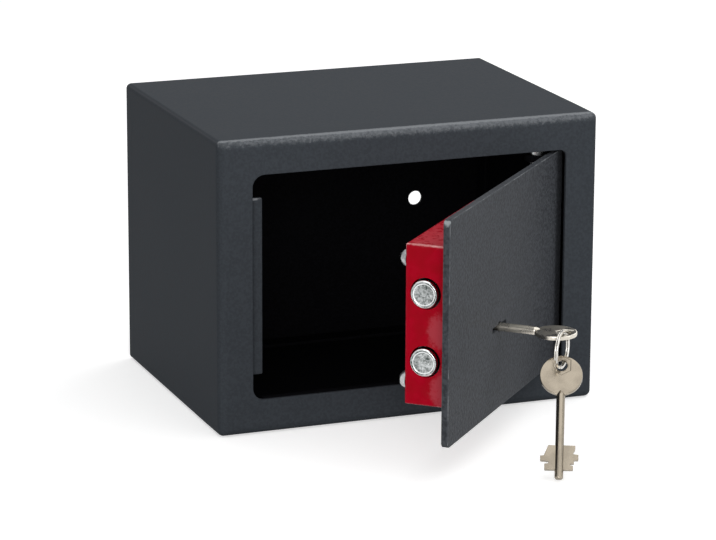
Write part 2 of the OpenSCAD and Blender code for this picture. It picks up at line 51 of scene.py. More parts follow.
# The door stands open at rest. Everything on it is worked out as it lies when closed.
doorHinge = next(j for j in frame["joints"] if j["name"] == "door_hinge")
doorAngle = -math.radians(doorHinge["range_deg"][0])
pivot = Vector((doorHinge["pos_m"][0], doorHinge["pos_m"][1], 0))
doorPlace = Matrix.Translation(pivot) @ Matrix.Rotation(doorAngle, 4, "Z") @ Matrix.Translation(-pivot)
keyTurn = next(j for j in frame["joints"] if j["name"] == "key_turn")


def closedBox(node):
    points = [doorPlace.inverted() @ v.co for v in frame["nodes"][node].data.vertices]
    low = Vector([min(p[i] for p in points) for i in range(3)])
    high = Vector([max(p[i] for p in points) for i in range(3)])
    return low, high


# Small helpers shared by the shader trees and the geometry trees

def addNode(tree, kind, inputs=None, **settings):
    made = tree.nodes.new(kind)
    for name, value in settings.items():
        setattr(made, name, value)
    for name, value in (inputs or {}).items():
        if isinstance(value, bpy.types.NodeSocket):
            tree.links.new(value, made.inputs[name])
        else:
            made.inputs[name].default_value = value
    return made


def newGroup(name, kind, inputs, outputs):
    group = bpy.data.node_groups.new(name, kind)
    for label, socketType, default in inputs:
        socket = group.interface.new_socket(label, in_out="INPUT", socket_type=socketType)
        if default is not None:
            socket.default_value = default
    for label, socketType in outputs:
        group.interface.new_socket(label, in_out="OUTPUT", socket_type=socketType)
    return group, group.nodes.new("NodeGroupInput").outputs, group.nodes.new("NodeGroupOutput").inputs


def maths(tree, operation, a, b=0.0, clamp=False):
    return addNode(tree, "ShaderNodeMath", {0: a, 1: b}, operation=operation, use_clamp=clamp).outputs[0]


def vectorMaths(tree, operation, a, b=(0, 0, 0)):
    return addNode(tree, "ShaderNodeVectorMath", {0: a, 1: b}, operation=operation).outputs[0]


def smoothRange(tree, value, low, high, outLow=0.0, outHigh=1.0):
    node = addNode(tree, "ShaderNodeMapRange", {"Value": value, "From Min": low, "From Max": high,
                   "To Min": outLow, "To Max": outHigh}, interpolation_type="SMOOTHSTEP")
    return node.outputs["Result"]


def noiseOf(tree, vector, scale, detail=2.0, roughness=0.5):
    return addNode(tree, "ShaderNodeTexNoise", {"Vector": vector, "Scale": scale, "Detail": detail,
                   "Roughness": roughness}).outputs["Fac"]


def mixColours(tree, share, first, second):
    node = addNode(tree, "ShaderNodeMix", {0: share}, data_type="RGBA")
    for index, value in ((6, first), (7, second)):
        if isinstance(value, bpy.types.NodeSocket):
            tree.links.new(value, node.inputs[index])
        else:
            node.inputs[index].default_value = (*value, 1)
    return node.outputs[2]


view = {
    "azimuth": -21.13,      # degrees round the box, 0 looks along +Y
    "elevation": 15.02,
    "roll": -0.284,
    "distance": 2.0148,
    "aside": 0.7 * mm,      # where the view's centre lies from the foot of the box
    "above": 63.81 * mm,
    "lens": 169.91,
    "sensor": 36,
}


def makeCamera():
    a, e, r = (math.radians(view[k]) for k in ("azimuth", "elevation", "roll"))
    back = Vector((math.sin(a) * math.cos(e), -math.cos(a) * math.cos(e), math.sin(e)))
    right = Vector((math.cos(a), math.sin(a), 0))
    up = back.cross(right)
    right, up = right * math.cos(r) - up * math.sin(r), right * math.sin(r) + up * math.cos(r)
    place = right * view["aside"] + up * view["above"] + back * view["distance"]
    data = bpy.data.cameras.new("camera")
    data.lens = view["lens"]
    data.sensor_width = view["sensor"]
    data.clip_end = 20
    camera = bpy.data.objects.new("camera", data)
    camera.matrix_world = Matrix.Translation(place) @ Matrix((right, up, back)).transposed().to_4x4()
    scene.collection.objects.link(camera)
    scene.camera = camera


makeCamera()
print("camera set")


powder = {
    "fineRatio": 2.7,       # how much finer the second grain is
    "coarseShare": 0.6,
    "fineShare": 0.25,
    "cellShare": 0.35,
    "cloudScale": 22.0,
    "cloudShare": 0.35,     # of the tone; the specks have the rest
}


def makePowderTexture():
    group, given, result = newGroup("powderTexture", "ShaderNodeTree", [
        ("Vector", "NodeSocketVector", None), ("Grain", "NodeSocketFloat", 800.0)], [
        ("Height", "NodeSocketFloat"), ("Tone", "NodeSocketFloat")])
    coarse = noiseOf(group, given["Vector"], given["Grain"], 1.0)
    fineGrain = maths(group, "MULTIPLY", given["Grain"], powder["fineRatio"])
    fine = noiseOf(group, given["Vector"], fineGrain, 2.0)
    cells = addNode(group, "ShaderNodeTexVoronoi", {"Vector": given["Vector"], "Scale": given["Grain"],
                    "Smoothness": 0.6}, feature="SMOOTH_F1").outputs["Distance"]
    bumps = maths(group, "ADD", maths(group, "MULTIPLY", coarse, powder["coarseShare"]),
                  maths(group, "MULTIPLY", fine, powder["fineShare"]))
    height = maths(group, "SUBTRACT", bumps, maths(group, "MULTIPLY", cells, powder["cellShare"]))
    group.links.new(height, result["Height"])
    cloud = noiseOf(group, given["Vector"], powder["cloudScale"], 3.0)
    speck = smoothRange(group, coarse, 0.32, 0.68)
    tone = maths(group, "ADD", maths(group, "MULTIPLY", cloud, powder["cloudShare"]),
                 maths(group, "MULTIPLY", speck, 1 - powder["cloudShare"]))
    group.links.new(tone, result["Tone"])
    return group


def makeEdgeWearAndHighlight():
    # Edge is 1 along the edges of a box centred on the vector's origin; Chips is that edge broken up by
    # noise. Edge makes edges lighter, on the body a painted highlight; Chips marks worn chips
    group, given, result = newGroup("edgeWearAndHighlight", "ShaderNodeTree", [
        ("Vector", "NodeSocketVector", None), ("Half Size", "NodeSocketVector", None),
        ("Width", "NodeSocketFloat", 0.002), ("Breakup", "NodeSocketFloat", 90.0)], [
        ("Edge", "NodeSocketFloat"), ("Chips", "NodeSocketFloat")])
    away = vectorMaths(group, "ABSOLUTE", given["Vector"])
    inside = vectorMaths(group, "SUBTRACT", given["Half Size"], away)
    x, y, z = addNode(group, "ShaderNodeSeparateXYZ", {0: inside}).outputs
    nearer = maths(group, "MINIMUM", x, y)
    further = maths(group, "MAXIMUM", x, y)
    second = maths(group, "MAXIMUM", nearer, maths(group, "MINIMUM", further, z))
    edge = smoothRange(group, second, 0.0, given["Width"], 1.0, 0.0)
    rough = noiseOf(group, given["Vector"], given["Breakup"], 5.0, 0.65)
    group.links.new(edge, result["Edge"])
    chips = maths(group, "ADD", maths(group, "MULTIPLY", edge, 0.55), rough)
    group.links.new(smoothRange(group, chips, 0.98, 1.08), result["Chips"])
    return group


def makePaintedLightPatch():
    # 1 inside a soft-edged patch round a centre, with a ragged outline, where light or a highlight is
    # painted
    group, given, result = newGroup("paintedLightPatch", "ShaderNodeTree", [
        ("Vector", "NodeSocketVector", None), ("Centre", "NodeSocketVector", None),
        ("Reach", "NodeSocketVector", None), ("Breakup", "NodeSocketFloat", 160.0)], [
        ("Mask", "NodeSocketFloat")])
    away = vectorMaths(group, "SUBTRACT", given["Vector"], given["Centre"])
    scaled = vectorMaths(group, "DIVIDE", away, given["Reach"])
    distance = addNode(group, "ShaderNodeVectorMath", {0: scaled}, operation="LENGTH").outputs["Value"]
    ragged = maths(group, "MULTIPLY", noiseOf(group, given["Vector"], given["Breakup"], 5.0, 0.7), 1.5)
    outline = maths(group, "ADD", distance, ragged)
    group.links.new(smoothRange(group, outline, 1.25, 1.75, 1.0, 0.0), result["Mask"])
    return group


def makePatina():
    # Mottling of zinc and nickel plating: broad clouds and fine specks
    group, given, result = newGroup("platingPatina", "ShaderNodeTree", [
        ("Vector", "NodeSocketVector", None), ("Cloud Scale", "NodeSocketFloat", 150.0),
        ("Speck Scale", "NodeSocketFloat", 700.0), ("Specks", "NodeSocketFloat", 0.3)], [
        ("Mottle", "NodeSocketFloat"), ("Height", "NodeSocketFloat")])
    cloud = smoothRange(group, noiseOf(group, given["Vector"], given["Cloud Scale"], 3.0), 0.36, 0.64)
    fine = noiseOf(group, given["Vector"], given["Speck Scale"], 4.0, 0.6)
    speck = smoothRange(group, fine, 0.38, 0.62)
    both = addNode(group, "ShaderNodeMix", {0: given["Specks"], 2: cloud, 3: speck}, data_type="FLOAT")
    group.links.new(both.outputs[0], result["Mottle"])
    group.links.new(fine, result["Height"])
    return group


powderTexture = makePowderTexture()
edgeWearAndHighlight = makeEdgeWearAndHighlight()
paintedLightPatch = makePaintedLightPatch()
patina = makePatina()


def placedGroup(tree, group, vector, values):
    # One of the shared effects set into a material, with this material's own values
    return addNode(tree, "ShaderNodeGroup", {"Vector": vector} | values, node_tree=group).outputs


def newMaterial(name):
    material = bpy.data.materials.new(name)
    material.use_nodes = True
    tree = material.node_tree
    place = addNode(tree, "ShaderNodeTexCoord").outputs["Object"]
    return material, tree, tree.nodes["Principled BSDF"], place


def inBox(tree, place, low, high, onDoor):
    # Turns a point back to the closed door where needed, and centres it on the box
    turn = -doorAngle if onDoor else 0.0
    shift = -(low + high) / 2
    if onDoor:
        shift += pivot - Matrix.Rotation(turn, 3, "Z") @ pivot
    moved = addNode(tree, "ShaderNodeMapping", {"Vector": place, "Location": shift,
                    "Rotation": (0, 0, turn)})
    return moved.outputs[0]


def roughen(tree, shader, height, look):
    bump = addNode(tree, "ShaderNodeBump", {"Height": height, "Strength": look["bump"],
                   "Distance": look["depth"]})
    tree.links.new(bump.outputs[0], shader.inputs["Normal"])


def paintMaterial(name, look, low, high, onDoor):
    material, tree, shader, place = newMaterial(name)
    local = inBox(tree, place, low, high, onDoor)
    texture = placedGroup(tree, powderTexture, local, {"Grain": look["grain"]})
    edgeMasks = placedGroup(tree, edgeWearAndHighlight, local, {"Half Size": (high - low) / 2, "Width": look["edgeWidth"]})
    base = mixColours(tree, texture["Tone"], look["dark"], look["light"])
    least, most = look["rough"] - look["roughSpread"], look["rough"] + look["roughSpread"]
    rough = smoothRange(tree, texture["Tone"], 0.0, 1.0, least, most)
    # Each patch lays painted light into the colour: a highlight, a sheen or a lit face
    for centre, reach, breakup, tone in look["patches"]:
        patch = placedGroup(tree, paintedLightPatch, local, {"Centre": centre, "Reach": reach, "Breakup": breakup})
        mask = patch["Mask"]
        base = mixColours(tree, maths(tree, "MULTIPLY", mask, look["patchCover"]), base, tone)
        rough = maths(tree, "ADD", rough, maths(tree, "MULTIPLY", mask, look["patchRough"]))
    # Lighter along the edges; on the body's bends this is a painted highlight
    edgeLightened = mixColours(tree, maths(tree, "MULTIPLY", edgeMasks["Edge"], look["edgeLighten"]), base, look["edge"])
    worn = mixColours(tree, maths(tree, "MULTIPLY", edgeMasks["Chips"], look["chips"]), edgeLightened, look["bare"])
    tree.links.new(worn, shader.inputs["Base Color"])
    tree.links.new(rough, shader.inputs["Roughness"])
    shader.inputs["Specular IOR Level"].default_value = look["gloss"]
    shader.inputs["Coat Weight"].default_value = look["coat"]
    shader.inputs["Coat Roughness"].default_value = look["coatRough"]
    roughen(tree, shader, texture["Height"], look)
    return material


def metalMaterial(name, look):
    material, tree, shader, place = newMaterial(name)
    moved = addNode(tree, "ShaderNodeMapping", {"Vector": place, "Location": look["shift"]}).outputs[0]
    plate = placedGroup(tree, patina, moved, {"Cloud Scale": look["clouds"], "Speck Scale": look["specks"],
                                              "Specks": look["speckShare"]})
    colour = mixColours(tree, plate["Mottle"], look["dark"], look["light"])
    tree.links.new(colour, shader.inputs["Base Color"])
    rough = smoothRange(tree, plate["Mottle"], 0.0, 1.0, look["rough"] + look["spread"], look["rough"])
    tree.links.new(rough, shader.inputs["Roughness"])
    shader.inputs["Metallic"].default_value = 1.0
    roughen(tree, shader, plate["Height"], look)
    return material


coatLook = {
    "dark": (0.040, 0.045, 0.052), "light": (0.051, 0.058, 0.067), "rough": 0.5, "roughSpread": 0.06,
    "gloss": 0.01, "coat": 0.0, "coatRough": 0.2, "grain": 700.0, "bump": 0.5, "depth": 0.15 * mm,
    # The lighter edge colour along the body's bends is a painted highlight
    "edge": (0.1, 0.103, 0.112), "edgeWidth": 1.8 * mm, "edgeLighten": 0.8, "bare": (0.2, 0.21, 0.22), "chips": 0.0,
    "patchCover": 0.75, "patchRough": 0.12,
    # Patches of painted light: centre from the box's middle, reach, breakup and tone.
    # The bend along the top of the front carries a painted highlight, brightest in a thin line at its top.
    "patches": [((0.03, -0.085, 0.0855), (0.3, 0.006, 0.0052), 420.0, (0.09, 0.098, 0.106)),
                ((0.03, -0.085, 0.0872), (0.26, 0.007, 0.0062), 520.0, (0.17, 0.18, 0.194)),
                ((0.02, -0.081, 0.0852), (0.3, 0.0022, 0.0018), 560.0, (0.26, 0.275, 0.29))],
}
# Near-black shade of the safe's interior, painted into the colour of everything inside it
shadedInsideLook = coatLook | {
    "dark": (0.003, 0.003, 0.0035), "light": (0.006, 0.006, 0.0075), "rough": 0.6, "gloss": 0.02,
    "edgeLighten": 0.0, "patches": [],
}
# The door's paint is lighter than the body's: partly its own tone, partly painted light for a door that
# faces the lamps more
doorLook = coatLook | {
    "dark": (0.032, 0.034, 0.039), "light": (0.078, 0.084, 0.094), "rough": 0.4, "gloss": 0.02,
    "grain": 600.0, "bump": 1.0, "depth": 0.4 * mm, "edge": (0.1, 0.108, 0.118), "edgeWidth": 0.9 * mm,
    "edgeLighten": 0.5, "bare": (0.45, 0.47, 0.48), "chips": 0.3,
    # Painted highlight on the rounded top corner of the free edge
    "patches": [((-0.0922, 0.0, 0.0625), (0.0012, 0.003, 0.0035), 500.0, (0.4, 0.43, 0.44))],
}
redLook = coatLook | {
    "dark": (0.36, 0.0, 0.008), "light": (0.45, 0.0, 0.015), "rough": 0.24, "gloss": 0.04, "coat": 0.03,
    "coatRough": 0.12, "grain": 130.0, "bump": 0.1, "depth": 0.3 * mm, "edge": (0.52, 0.01, 0.035),
    "edgeWidth": 2.2 * mm, "edgeLighten": 0.4, "bare": (0.85, 0.42, 0.42), "chips": 0.85,
    # Painted light: sheen on the end face beside the bolts, a lighter top face, and a highlight along the
    # end face's top edge
    "patches": [((-0.052, -0.007, -0.003), (0.006, 0.009, 0.012), 260.0, (0.47, 0.06, 0.08)),
                ((-0.052, -0.009, -0.036), (0.006, 0.009, 0.012), 260.0, (0.47, 0.06, 0.08)),
                ((-0.03, 0.0, 0.0492), (0.08, 0.04, 0.006), 330.0, (0.58, 0.06, 0.08)),
                ((-0.052, 0.0, 0.045), (0.0014, 0.03, 0.0012), 480.0, (0.75, 0.45, 0.43))],
}
zincLook = {
    "dark": (0.24, 0.25, 0.26), "light": (0.55, 0.57, 0.57), "rough": 0.2, "spread": 0.14, "bump": 0.2,
    "depth": 0.06 * mm, "clouds": 150.0, "specks": 800.0, "speckShare": 0.4, "shift": (0, 0, 0),
}
# A bright copy of the zinc for the bolts' chamfered rims: their highlight painted into the colour
rimHighlightLook = zincLook | {"dark": (0.62, 0.64, 0.64), "light": (0.86, 0.88, 0.88), "rough": 0.1, "spread": 0.08}
# The bolts' turned faces, mottled from near-black, a painted dark reflection, up to plain zinc; the shift
# sets which bolt face comes out darker
boltFaceReflectionLook = zincLook | {
    "dark": (0.035, 0.046, 0.042), "light": (0.56, 0.58, 0.58), "rough": 0.28, "clouds": 190.0,
    "specks": 850.0, "speckShare": 0.5, "shift": (0.02, 0.0, 0.0),
}
steelLook = zincLook | {"dark": (0.22, 0.23, 0.24), "light": (0.34, 0.35, 0.36), "rough": 0.34}
springLook = zincLook | {"dark": (0.12, 0.13, 0.15), "light": (0.24, 0.25, 0.27), "rough": 0.3}
brassLook = zincLook | {
    "dark": (0.36, 0.26, 0.11), "light": (0.54, 0.41, 0.19), "rough": 0.28, "speckShare": 0.1,
}
keyLook = zincLook | {
    "dark": (0.48, 0.45, 0.39), "light": (0.62, 0.58, 0.51), "rough": 0.24, "spread": 0.12, "clouds": 110.0,
    "specks": 1400.0, "speckShare": 0.25, "bump": 0.05, "depth": 0.03 * mm,
}
# A darker copy of the keys' nickel: painted shade that holds the hanging key's reflections of the lamps down
spareShadedLook = keyLook | {
    "dark": (0.255, 0.222, 0.176), "light": (0.30, 0.262, 0.208), "rough": 0.18, "spread": 0.07,
}
ringLook = keyLook | {"dark": (0.5, 0.48, 0.44), "light": (0.66, 0.64, 0.6), "rough": 0.12, "spread": 0.07}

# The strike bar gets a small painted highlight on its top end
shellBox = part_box("cabinet_shell")
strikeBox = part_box("strike_bar")
strikeTop = Vector(((strikeBox[0].x + strikeBox[1].x) / 2, strikeBox[0].y, strikeBox[1].z))
strikeHighlight = strikeTop - (shellBox[0] + shellBox[1]) / 2
coatLook["patches"].append((tuple(strikeHighlight), (0.01, 0.0013, 0.0016), 500.0, (0.3, 0.31, 0.33)))
plateBox = closedBox("door_plate")
coverBox = closedBox("lock_cover")
coat = paintMaterial("cabinetCoat", coatLook, *shellBox, False)
shadedInsideCoat = paintMaterial("shadedInsideCoat", shadedInsideLook, *shellBox, False)
doorCoat = paintMaterial("doorCoat", doorLook, *plateBox, True)
redEnamel = paintMaterial("redEnamel", redLook, *coverBox, True)
zinc = metalMaterial("zincPlate", zincLook)
boltRimHighlight = metalMaterial("boltRimHighlight", rimHighlightLook)
boltFaceReflection = metalMaterial("boltFaceReflection", boltFaceReflectionLook)
steel = metalMaterial("pressedSteel", steelLook)
springSteel = metalMaterial("springSteel", springLook)
brass = metalMaterial("brass", brassLook)
keyNickel = metalMaterial("keyNickel", keyLook)
spareShadedNickel = metalMaterial("spareShadedNickel", spareShadedLook)
ringNickel = metalMaterial("ringNickel", ringLook)
print("materials:", len(bpy.data.materials))


def meshObject(name, bm, materials):
    bmesh.ops.remove_doubles(bm, verts=bm.verts, dist=1e-6)
    bmesh.ops.recalc_face_normals(bm, faces=bm.faces)
    mesh = bpy.data.meshes.new(name)
    bm.to_mesh(mesh)
    bm.free()
    piece = bpy.data.objects.new(name, mesh)
    scene.collection.objects.link(piece)
    for material in materials:
        mesh.materials.append(material)
    return piece


def applied(piece):
    bpy.context.view_layer.update()
    made = bpy.data.meshes.new_from_object(piece.evaluated_get(bpy.context.evaluated_depsgraph_get()))
    piece.modifiers.clear()
    piece.data = made
    return piece


def finishPiece(piece, body, nodes=(), sharp=38):
    for polygon in piece.data.polygons:
        polygon.use_smooth = True
    piece.data.set_sharp_from_angle(angle=math.radians(sharp))
    weighted = piece.modifiers.new("weighted", "WEIGHTED_NORMAL")
    weighted.keep_sharp = True
    weighted.weight = 80
    applied(piece)
    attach(piece, body)
    if nodes:
        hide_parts(*nodes)
    return piece


def bevelled(piece, width, segments=3, angle=50):
    bevel = piece.modifiers.new("bevel", "BEVEL")
    bevel.width = width
    bevel.segments = segments
    bevel.limit_method = "ANGLE"
    bevel.angle_limit = math.radians(angle)
    bevel.miter_outer = "MITER_ARC"
    return applied(piece)


def softCopy(node, name, material, width, segments=3):
    # The node's own form with its facets joined again and its edges broken, as deburred sheet has them
    bm = bmesh.new()
    bm.from_mesh(frame["nodes"][node].data)
    bmesh.ops.remove_doubles(bm, verts=bm.verts, dist=1e-6)
    bmesh.ops.dissolve_limit(bm, angle_limit=math.radians(0.5), verts=bm.verts, edges=bm.edges)
    return bevelled(meshObject(name, bm, [material]), width, segments)


def booleaned(piece, other, operation):
    tool = piece.modifiers.new("boolean", "BOOLEAN")
    tool.operation = operation
    tool.solver = "EXACT"
    tool.object = other
    applied(piece)
    bpy.data.objects.remove(other)
    return piece


def addBlock(bm, start, end):
    start, end = Vector(start), Vector(end)
    place = Matrix.Translation((start + end) / 2) @ Matrix.Diagonal((*(end - start), 1))
    bmesh.ops.create_cube(bm, size=1, matrix=place)


def addLoft(bm, loops, closeRound=False, capEnds=False, indices=None):
    # A skin over loops of as many points each, with a material index for each step
    rings = [[bm.verts.new(p) for p in loop] for loop in loops]
    count = len(rings[0])
    pairs = list(zip(rings, rings[1:])) + ([(rings[-1], rings[0])] if closeRound else [])
    for level, (lower, upper) in enumerate(pairs):
        for i in range(count):
            j = (i + 1) % count
            face = bm.faces.new((lower[i], lower[j], upper[j], upper[i]))
            face.material_index = indices[level] if indices else 0
    if capEnds:
        bm.faces.new(rings[0])
        bm.faces.new(list(reversed(rings[-1])))


def roundedLoop(x0, x1, z0, z1, radii, y, steps=8, sides=6):
    # Corners in the order right top, left top, left bottom, right bottom
    corners = ((x1, z1, 0), (x0, z1, 90), (x0, z0, 180), (x1, z0, 270))
    arcs = []
    for (x, z, start), radius in zip(corners, radii):
        midX = x + (-radius if x == x1 else radius)
        midZ = z + (-radius if z == z1 else radius)
        turns = [math.radians(start + 90 * k / steps) for k in range(steps + 1)]
        arcs.append([Vector((midX + radius * math.cos(t), y, midZ + radius * math.sin(t))) for t in turns])
    points = []
    for arc, following in zip(arcs, arcs[1:] + arcs[:1]):
        points += arc
        points += [arc[-1].lerp(following[0], k / sides) for k in range(1, sides)]
    return points


cabinet = {
    "sheet": 2 * mm,
    "border": 20 * mm,
    "openingRadii": (4 * mm, 7 * mm, 7 * mm, 4 * mm),
    "frontBend": 5 * mm,
    "sideBend": 3 * mm,
    "frontCorner": 1.2 * mm,
    "cornerBend": 3.4 * mm,     # where the ground welds round off the front corners
    "edgeBreak": 0.5 * mm,
    "rearBreak": 0.4 * mm,
    "lipDepth": 8 * mm,
    "lipEnd": 68 * mm,          # the top and bottom lips stop short of the hinge
    "strikeSeat": 4.3 * mm,
    "lipGap": 0.02 * mm,
    "anchorPitch": 140 * mm,
    "anchorRadius": 4.5 * mm,
}
pressedEdges = {                # how far the other sheet pieces' edges are broken
    "strike": 0.5 * mm,
    "leaf": 0.3 * mm,
    "fold": 0.4 * mm,
    "door": 0.6 * mm,
    "cover": 0.25 * mm,
}


def drillHole(piece, place):
    bm = bmesh.new()
    radius = cabinet["anchorRadius"]
    bmesh.ops.create_cone(bm, cap_ends=True, segments=48, radius1=radius, radius2=radius,
                          depth=6 * cabinet["sheet"], matrix=place)
    booleaned(piece, meshObject("drill", bm, []), "DIFFERENCE")


def makeCabinet():
    c = cabinet
    low, high = shellBox
    t = c["sheet"]

    def openingLoop(grow, y):
        inset = c["border"] - grow
        radii = [r + grow for r in c["openingRadii"]]
        return roundedLoop(low.x + inset, high.x - inset, low.z + inset, high.z - inset, radii, y)

    def outerLoop(inset, radius, y):
        return roundedLoop(low.x + inset, high.x - inset, low.z + inset, high.z - inset, [radius] * 4, y)

    loops, kinds = [], []

    def put(loop, kind):
        loops.append(loop)
        kinds.append(kind)

    e, bend, rear, corner = c["edgeBreak"], c["frontBend"], c["rearBreak"], c["frontCorner"]
    put(openingLoop(0, low.y + t), 0)
    for k in range(5):
        turn = math.radians(90 * k / 4)
        put(openingLoop(e * (1 - math.cos(turn)), low.y + e * (1 - math.sin(turn))), 0)
    steps = 12
    for k in range(steps + 1):
        turn = math.radians(90 * k / steps)
        radius = corner + (c["cornerBend"] - corner) * math.sin(turn)
        put(outerLoop(bend * (1 - math.sin(turn)), radius, low.y + bend * (1 - math.cos(turn))), 0)
    put(outerLoop(0, c["sideBend"], low.y + 5 * bend), 0)
    put(outerLoop(0, c["sideBend"], high.y - rear), 0)
    put(outerLoop(0.3 * rear, c["sideBend"], high.y - 0.3 * rear), 0)
    put(outerLoop(rear, c["sideBend"], high.y), 0)
    put(outerLoop(t - 0.3 * mm, 0.7 * mm, high.y), 0)
    put(outerLoop(t, 0.5 * mm, high.y - 0.3 * mm), 1)
    inner = bend - t
    for k in range(6):
        turn = math.radians(90 * k / 5)
        inset = t + inner * (1 - math.cos(turn))
        put(outerLoop(inset, 0.5 * mm, low.y + t + inner * (1 - math.sin(turn))), 1)
    bm = bmesh.new()
    addLoft(bm, loops, closeRound=True, indices=kinds[:-1] + [1])
    piece = meshObject("cabinetBody", bm, [coat, shadedInsideCoat])
    for side in (-1, 1):
        drillHole(piece, Matrix.Translation((side * c["anchorPitch"] / 2, 0, low.z)))
    return finishPiece(piece, "cabinet", ["cabinet_shell"])


def makeLips():
    # Strips folded in behind the opening's edges; they stiffen the frame and seat the strike bar
    c = cabinet
    low, high = shellBox
    t = c["sheet"]
    x0, z0, z1 = low.x + c["border"], low.z + c["border"], high.z - c["border"]
    radius = c["openingRadii"][1]
    front = low.y + t + c["lipGap"]
    bm = bmesh.new()
    addBlock(bm, (x0 + radius, front, z0 - t), (c["lipEnd"], low.y + c["lipDepth"], z0))
    addBlock(bm, (x0 + radius, front, z1), (c["lipEnd"], low.y + c["lipDepth"], z1 + t))
    addBlock(bm, (x0 - t, front, z0 + radius), (x0, low.y + c["strikeSeat"], z1 - radius))
    piece = bevelled(meshObject("openingLips", bm, [shadedInsideCoat]), pressedEdges["fold"])
    return finishPiece(piece, "cabinet")


backSheet = {
    "corner": 1 * mm,
    "flangeGap": 2 * mm,        # relief between the folded flanges at each corner
}


def makeBack():
    # Painted as the body outside and with the interior's painted shade inside, with two anchor holes and
    # flanges folded forward
    low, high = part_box("back_panel")
    t, e = cabinet["sheet"], cabinet["edgeBreak"]
    loops = []
    for inset, y in ((e, high.y), (0.3 * e, high.y - 0.3 * e), (0, high.y - e), (0, high.y - t + e),
                     (0.3 * e, high.y - t + 0.3 * e), (e, high.y - t)):
        loops.append(roundedLoop(low.x + inset, high.x - inset, low.z + inset, high.z - inset,
                                 [backSheet["corner"]] * 4, y, 4))
    bm = bmesh.new()
    addLoft(bm, loops, capEnds=True)
    piece = meshObject("backSheet", bm, [shadedInsideCoat, coat])
    middle = (low.z + high.z) / 2
    for side in (-1, 1):
        place = Matrix.Translation((side * cabinet["anchorPitch"] / 2, high.y, middle))
        drillHole(piece, place @ Matrix.Rotation(math.radians(90), 4, "X"))
    for polygon in piece.data.polygons:
        polygon.material_index = 1 if polygon.center.y > high.y - 1.2 * e else 0
    finishPiece(piece, "cabinet", ["back_panel"])
    gap = t + backSheet["flangeGap"]
    bm = bmesh.new()
    for x in (low.x, high.x - t):
        addBlock(bm, (x, low.y, low.z + gap), (x + t, high.y - t, high.z - gap))
    for z in (low.z, high.z - t):
        addBlock(bm, (low.x + gap, low.y, z), (high.x - gap, high.y - t, z + t))
    flanges = bevelled(meshObject("backFlanges", bm, [shadedInsideCoat]), pressedEdges["fold"])
    finishPiece(flanges, "cabinet")


makeCabinet()
makeLips()
makeBack()
strikePlate = softCopy("strike_bar", "strikePlate", coat, pressedEdges["strike"])
finishPiece(strikePlate, "cabinet", ["strike_bar"])
for end in ("upper", "lower"):
    leaf = softCopy(end + "_hinge_bracket", end + "HingeLeaf", shadedInsideCoat, pressedEdges["leaf"])
    finishPiece(leaf, "cabinet", [end + "_hinge_bracket"])
print("cabinet made")


doorPlate = softCopy("door_plate", "doorPlate", doorCoat, pressedEdges["door"])
finishPiece(doorPlate, "door", ["door_plate"])
lockCover = softCopy("lock_cover", "lockCover", redEnamel, pressedEdges["cover"])
finishPiece(lockCover, "door", ["lock_cover"])
for end in ("upper", "lower"):
    leaf = softCopy(end + "_hinge_ear", end + "HingeEar", shadedInsideCoat, pressedEdges["leaf"])
    finishPiece(leaf, "door", [end + "_hinge_ear"])
print("door made")


def addTurned(bm, profile, steps=64):
    # Spins the profile's points, as (radius, height), about Z
    rings = []
    for radius, height in profile:
        if radius == 0:
            rings.append([bm.verts.new((0, 0, height))])
            continue
        turns = [2 * math.pi * k / steps for k in range(steps)]
        rings.append([bm.verts.new((radius * math.cos(t), radius * math.sin(t), height)) for t in turns])
    for lower, upper in zip(rings, rings[1:]):
        for k in range(steps):
            following = (k + 1) % steps
            corners = [lower[k % len(lower)], lower[following % len(lower)],
                       upper[following % len(upper)], upper[k % len(upper)]]
            bm.faces.new(list(dict.fromkeys(corners)))


def makeRepeater():
    # Sets copies of what it is given in rows and columns
    group, source, result = newGroup("setInRows", "GeometryNodeTree", [
        ("Piece", "NodeSocketGeometry", None), ("Columns", "NodeSocketInt", 1),
        ("Column Step", "NodeSocketVector", None), ("Rows", "NodeSocketInt", 2),
        ("Row Step", "NodeSocketVector", None), ("Material", "NodeSocketMaterial", None)], [
        ("Pieces", "NodeSocketGeometry")])
    pieces = source["Piece"]
    for count, step in (("Rows", "Row Step"), ("Columns", "Column Step")):
        line = addNode(group, "GeometryNodeMeshLine", {"Count": source[count], "Offset": source[step]})
        pieces = addNode(group, "GeometryNodeInstanceOnPoints", {"Points": line.outputs[0],
                         "Instance": pieces}).outputs[0]
    solid = addNode(group, "GeometryNodeRealizeInstances", {"Geometry": pieces})
    finished = addNode(group, "GeometryNodeSetMaterial", {"Geometry": solid.outputs[0],
                       "Material": source["Material"]})
    group.links.new(finished.outputs[0], result["Pieces"])
    return group


def runNodes(piece, group, values):
    modifier = piece.modifiers.new("nodes", "NODES")
    modifier.node_group = group
    for item in group.interface.items_tree:
        if item.item_type == "SOCKET" and item.in_out == "INPUT" and item.name in values:
            modifier[item.identifier] = values[item.name]
    return applied(piece)


def placed(piece, matrix):
    piece.data.transform(matrix)
    return piece


repeater = makeRepeater()

boltLook = {
    "radius": 7.8 * mm,
    "chamfer": 0.7 * mm,
    "rim": 0.9 * mm,        # width of the raised rim round the turned face
    "dish": 0.25 * mm,
    "neck": 4 * mm,         # the turned-down tail that is riveted into the bolt bar
    "neckStart": 4.3 * mm,  # from the far end
    "neckLength": 3 * mm,
    "rivet": 5.5 * mm,
}


